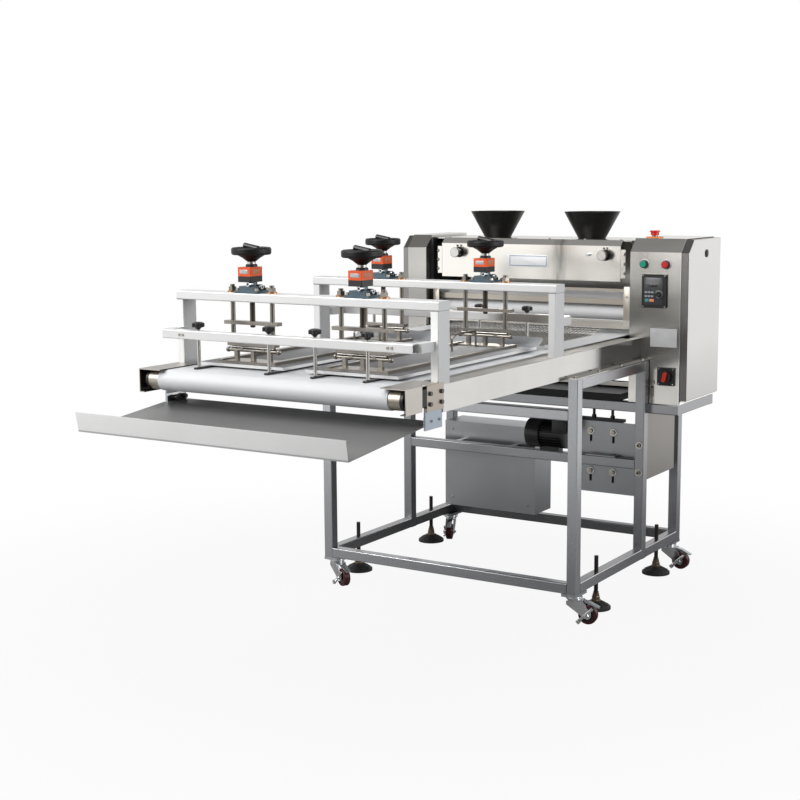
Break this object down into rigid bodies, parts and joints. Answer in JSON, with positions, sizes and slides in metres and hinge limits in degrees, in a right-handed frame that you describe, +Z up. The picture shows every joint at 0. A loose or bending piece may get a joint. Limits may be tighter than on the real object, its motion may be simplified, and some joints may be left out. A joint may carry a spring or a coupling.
{
  "type": "dough moulder",
  "caption": "Two-lane dough moulder: castored frame, belt conveyor, screw-lifted pressing boards, sheeting head with funnels, side housings and discharge tray.",
  "frame": {"origin": "on the floor, at the middle of the outline seen from above", "axes": "+Z up, +X towards the control housing, -Y towards the discharge tray"},
  "size_m": [1.325, 2.452, 1.501],
  "materials": {
    "frame_paint": "satin grey enamel",
    "stainless": "brushed stainless steel",
    "bright_aluminium": "satin anodised",
    "belt_white": "white food belt, matt",
    "black_plastic": "matt black",
    "white_plastic": "white food plastic",
    "board_grey": "pale grey board with white edges",
    "zinc": "bright zinc plate",
    "wheel_red": "dark red tread",
    "jack_orange": "orange indicator on a blue grey casting",
    "dark_plate": "dark inner plates",
    "green": "green button",
    "red": "red button",
    "isolator": "red switch handle"
  },
  "bodies": {
    "frame": {"base_frame": "frame_paint", "conveyor_frame": "stainless", "belt": "belt_white", "nose_plates": "stainless", "discharge_tray": "stainless", "bridges": "bright_aluminium", "jack_units": "jack_orange", "guide_tubes": "bright_aluminium", "housings": "stainless", "control_plates": "black_plastic", "head_frame": "dark_plate", "head_cover": "stainless", "scraper_bars": "stainless", "curling_mat": "stainless", "funnels": "black_plastic", "drive_units": "frame_paint", "fasteners": "stainless"},
    "castor_fork_front_left": {"castor_fork_front_left": "zinc"},
    "castor_wheel_front_left": {"castor_wheel_front_left": "wheel_red"},
    "castor_fork_front_right": {"castor_fork_front_right": "zinc"},
    "castor_wheel_front_right": {"castor_wheel_front_right": "wheel_red"},
    "castor_fork_rear_left": {"castor_fork_rear_left": "zinc"},
    "castor_wheel_rear_left": {"castor_wheel_rear_left": "wheel_red"},
    "castor_fork_rear_right": {"castor_fork_rear_right": "zinc"},
    "castor_wheel_rear_right": {"castor_wheel_rear_right": "wheel_red"},
    "levelling_foot_front_left": {"levelling_foot_front_left": "dark_plate"},
    "levelling_foot_front_right": {"levelling_foot_front_right": "dark_plate"},
    "levelling_foot_rear_left": {"levelling_foot_rear_left": "dark_plate"},
    "levelling_foot_rear_right": {"levelling_foot_rear_right": "dark_plate"},
    "press_board_left": {"press_board_left": "board_grey"},
    "handwheel_front_left": {"handwheel_front_left": "black_plastic"},
    "handwheel_rear_left": {"handwheel_rear_left": "black_plastic"},
    "press_board_right": {"press_board_right": "board_grey"},
    "handwheel_front_right": {"handwheel_front_right": "black_plastic"},
    "handwheel_rear_right": {"handwheel_rear_right": "black_plastic"},
    "fold_grip_front_left": {"fold_grip_front_left": "black_plastic"},
    "fold_grip_rear_left": {"fold_grip_rear_left": "black_plastic"},
    "fold_grip_front_right": {"fold_grip_front_right": "black_plastic"},
    "fold_grip_rear_right": {"fold_grip_rear_right": "black_plastic"},
    "drive_roller": {"drive_roller": "stainless"},
    "nose_roller": {"nose_roller": "stainless"},
    "sheeting_roller_lower": {"sheeting_roller_lower": "white_plastic"},
    "sheeting_roller_upper": {"sheeting_roller_upper": "white_plastic"},
    "lane_guide_left_outer": {"lane_guide_left_outer": "stainless"},
    "lane_guide_left_inner": {"lane_guide_left_inner": "stainless"},
    "lane_guide_right_inner": {"lane_guide_right_inner": "stainless"},
    "lane_guide_right_outer": {"lane_guide_right_outer": "stainless"},
    "housing_cover_right": {"housing_cover_right": "stainless"},
    "housing_cover_left": {"housing_cover_left": "stainless"},
    "cover_lock": {"cover_lock": "zinc"},
    "start_button": {"start_button": "green"},
    "stop_button": {"stop_button": "red"},
    "emergency_stop": {"emergency_stop": "red"},
    "isolator_handle": {"isolator_handle": "isolator"},
    "speed_knob": {"speed_knob": "black_plastic"},
    "gap_knob_left": {"gap_knob_left": "bright_aluminium"},
    "gap_knob_right": {"gap_knob_right": "bright_aluminium"},
    "index_plunger": {"index_plunger": "zinc"},
    "crumb_tray": {"crumb_tray": "dark_plate"}
  },
  "joints": [
    {"name": "swivel_front_left", "type": "hinge", "parent": "frame", "child": "castor_fork_front_left", "pos_m": [-0.5955, 0.2385, 0.117], "axis": [0, 0, 1], "continuous": true},
    {"name": "roll_front_left", "type": "hinge", "parent": "castor_fork_front_left", "child": "castor_wheel_front_left", "pos_m": [-0.54694, 0.21268, 0.036], "axis": [0.4695, 0.8829, 0], "continuous": true},
    {"name": "swivel_front_right", "type": "hinge", "parent": "frame", "child": "castor_fork_front_right", "pos_m": [0.4745, 0.2385, 0.117], "axis": [0, 0, 1], "continuous": true},
    {"name": "roll_front_right", "type": "hinge", "parent": "castor_fork_front_right", "child": "castor_wheel_front_right", "pos_m": [0.52849, 0.24899, 0.036], "axis": [-0.1908, 0.9816, 0], "continuous": true},
    {"name": "swivel_rear_left", "type": "hinge", "parent": "frame", "child": "castor_fork_rear_left", "pos_m": [-0.5955, 1.1635, 0.117], "axis": [0, 0, 1], "continuous": true},
    {"name": "roll_rear_left", "type": "hinge", "parent": "castor_fork_rear_left", "child": "castor_wheel_rear_left", "pos_m": [-0.57401, 1.11287, 0.036], "axis": [0.9205, 0.3907, 0], "continuous": true},
    {"name": "swivel_rear_right", "type": "hinge", "parent": "frame", "child": "castor_fork_rear_right", "pos_m": [0.4745, 1.1635, 0.117], "axis": [0, 0, 1], "continuous": true},
    {"name": "roll_rear_right", "type": "hinge", "parent": "castor_fork_rear_right", "child": "castor_wheel_rear_right", "pos_m": [0.52949, 1.16446, 0.036], "axis": [-0.0175, 0.9998, 0], "continuous": true},
    {"name": "level_front_left", "type": "slide", "parent": "frame", "child": "levelling_foot_front_left", "axis": [0, 0, 1], "range_m": [-0.0115, 0.012]},
    {"name": "level_front_right", "type": "slide", "parent": "frame", "child": "levelling_foot_front_right", "axis": [0, 0, 1], "range_m": [-0.0115, 0.012]},
    {"name": "level_rear_left", "type": "slide", "parent": "frame", "child": "levelling_foot_rear_left", "axis": [0, 0, 1], "range_m": [-0.0115, 0.012]},
    {"name": "level_rear_right", "type": "slide", "parent": "frame", "child": "levelling_foot_rear_right", "axis": [0, 0, 1], "range_m": [-0.0115, 0.012]},
    {"name": "lift_left", "type": "slide", "parent": "frame", "child": "press_board_left", "axis": [0, 0, 1], "range_m": [0, 0.04]},
    {"name": "jack_front_left", "type": "hinge", "parent": "frame", "child": "handwheel_front_left", "pos_m": [-0.2825, -0.686, 1.3696], "axis": [0, 0, 1], "range_deg": [0, 1440]},
    {"name": "jack_rear_left", "type": "hinge", "parent": "frame", "child": "handwheel_rear_left", "pos_m": [-0.2825, 0.121, 1.3696], "axis": [0, 0, 1], "range_deg": [0, 1440]},
    {"name": "lift_right", "type": "slide", "parent": "frame", "child": "press_board_right", "axis": [0, 0, 1], "range_m": [0, 0.04]},
    {"name": "jack_front_right", "type": "hinge", "parent": "frame", "child": "handwheel_front_right", "pos_m": [0.1615, -0.686, 1.3696], "axis": [0, 0, 1], "range_deg": [0, 1440]},
    {"name": "jack_rear_right", "type": "hinge", "parent": "frame", "child": "handwheel_rear_right", "pos_m": [0.1615, 0.121, 1.3696], "axis": [0, 0, 1], "range_deg": [0, 1440]},
    {"name": "fold_front_left", "type": "hinge", "parent": "handwheel_front_left", "child": "fold_grip_front_left", "pos_m": [-0.2415, -0.686, 1.4116], "axis": [0, 1, 0], "range_deg": [0, 80]},
    {"name": "fold_rear_left", "type": "hinge", "parent": "handwheel_rear_left", "child": "fold_grip_rear_left", "pos_m": [-0.2415, 0.121, 1.4116], "axis": [0, 1, 0], "range_deg": [0, 80]},
    {"name": "fold_front_right", "type": "hinge", "parent": "handwheel_front_right", "child": "fold_grip_front_right", "pos_m": [0.2025, -0.686, 1.4116], "axis": [0, 1, 0], "range_deg": [0, 80]},
    {"name": "fold_rear_right", "type": "hinge", "parent": "handwheel_rear_right", "child": "fold_grip_rear_right", "pos_m": [0.2025, 0.121, 1.4116], "axis": [0, 1, 0], "range_deg": [0, 80]},
    {"name": "drive_spin", "type": "hinge", "parent": "frame", "child": "drive_roller", "pos_m": [-0.0605, 1.121, 0.9789], "axis": [1, 0, 0], "continuous": true},
    {"name": "nose_spin", "type": "hinge", "parent": "frame", "child": "nose_roller", "pos_m": [-0.0605, -0.873, 0.9789], "axis": [1, 0, 0], "continuous": true},
    {"name": "lower_sheeting_spin", "type": "hinge", "parent": "frame", "child": "sheeting_roller_lower", "pos_m": [-0.0605, 0.966, 1.0952], "axis": [1, 0, 0], "continuous": true},
    {"name": "upper_sheeting_spin", "type": "hinge", "parent": "frame", "child": "sheeting_roller_upper", "pos_m": [-0.0605, 0.966, 1.1582], "axis": [1, 0, 0], "continuous": true},
    {"name": "guide_left_outer", "type": "slide", "parent": "frame", "child": "lane_guide_left_outer", "axis": [1, 0, 0], "range_m": [-0.025, 0.04]},
    {"name": "guide_left_inner", "type": "slide", "parent": "frame", "child": "lane_guide_left_inner", "axis": [1, 0, 0], "range_m": [-0.04, 0.04]},
    {"name": "guide_right_inner", "type": "slide", "parent": "frame", "child": "lane_guide_right_inner", "axis": [1, 0, 0], "range_m": [-0.04, 0.04]},
    {"name": "guide_right_outer", "type": "slide", "parent": "frame", "child": "lane_guide_right_outer", "axis": [1, 0, 0], "range_m": [-0.04, 0.025]},
    {"name": "cover_right_tilt", "type": "hinge", "parent": "frame", "child": "housing_cover_right", "pos_m": [0.6585, 1.027, 0.764], "axis": [0, 1, 0], "range_deg": [0, 35]},
    {"name": "cover_left_tilt", "type": "hinge", "parent": "frame", "child": "housing_cover_left", "pos_m": [-0.6535, 1.027, 0.764], "axis": [0, -1, 0], "range_deg": [0, 35]},
    {"name": "lock_turn", "type": "hinge", "parent": "housing_cover_right", "child": "cover_lock", "pos_m": [0.6585, 1.041, 1.338], "axis": [1, 0, 0], "range_deg": [0, 90]},
    {"name": "start_press", "type": "slide", "parent": "frame", "child": "start_button", "axis": [0, 1, 0], "range_m": [0, 0.004], "stiffness_N_per_m": 700, "springref_m": -0.002},
    {"name": "stop_press", "type": "slide", "parent": "frame", "child": "stop_button", "axis": [0, 1, 0], "range_m": [0, 0.004], "stiffness_N_per_m": 700, "springref_m": -0.002},
    {"name": "emergency_press", "type": "slide", "parent": "frame", "child": "emergency_stop", "axis": [0, 0, -1], "range_m": [0, 0.005]},
    {"name": "isolator_turn", "type": "hinge", "parent": "frame", "child": "isolator_handle", "pos_m": [0.5745, 0.851, 0.859], "axis": [0, -1, 0], "range_deg": [-90, 0]},
    {"name": "speed_turn", "type": "hinge", "parent": "frame", "child": "speed_knob", "pos_m": [0.5405, 0.851, 1.184], "axis": [0, -1, 0], "range_deg": [-140, 140]},
    {"name": "gap_left", "type": "hinge", "parent": "frame", "child": "gap_knob_left", "pos_m": [-0.3905, 0.888, 1.33], "axis": [0, -1, 0], "range_deg": [-150, 150]},
    {"name": "gap_right", "type": "hinge", "parent": "frame", "child": "gap_knob_right", "pos_m": [0.2895, 0.888, 1.33], "axis": [0, -1, 0], "range_deg": [-150, 150]},
    {"name": "plunger_pull", "type": "slide", "parent": "frame", "child": "index_plunger", "axis": [0, -1, 0], "range_m": [0, 0.008], "stiffness_N_per_m": 500, "springref_m": -0.003},
    {"name": "crumb_tray_slide", "type": "slide", "parent": "frame", "child": "crumb_tray", "axis": [0, 1, 0], "range_m": [0, 0.33]}
  ],
  "couplings": [
    {"joint": "jack_front_left", "follows": "lift_left", "rad_per_m": 628.32},
    {"joint": "jack_rear_left", "follows": "lift_left", "rad_per_m": 628.32},
    {"joint": "jack_front_right", "follows": "lift_right", "rad_per_m": 628.32},
    {"joint": "jack_rear_right", "follows": "lift_right", "rad_per_m": 628.32},
    {"joint": "nose_spin", "follows": "drive_spin", "ratio": 1},
    {"joint": "upper_sheeting_spin", "follows": "lower_sheeting_spin", "ratio": -1.375}
  ]
}
